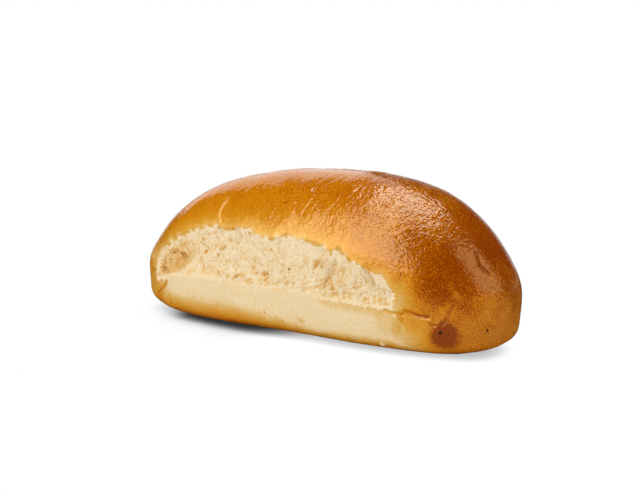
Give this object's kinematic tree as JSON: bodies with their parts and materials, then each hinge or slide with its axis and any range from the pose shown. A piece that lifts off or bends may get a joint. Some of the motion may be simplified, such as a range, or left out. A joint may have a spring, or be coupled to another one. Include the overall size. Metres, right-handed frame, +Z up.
{
  "type": "hot dog bun",
  "caption": "Unsliced soft hot dog bun, batch baked: browned crust over the dome and ends, a torn face of bare crumb on each long side",
  "frame": {"origin": "the middle of the bun's outline seen from above, on the plane of its flat base", "axes": "+X runs along the bun to the end nearest the viewer of the picture, +Z is up, and -Y is the long side whose torn face the picture shows"},
  "size_m": [0.151, 0.059, 0.0577],
  "materials": {
    "bread": "satin"
  },
  "bodies": {
    "root": {"bun": "bread"}
  },
  "joints": []
}
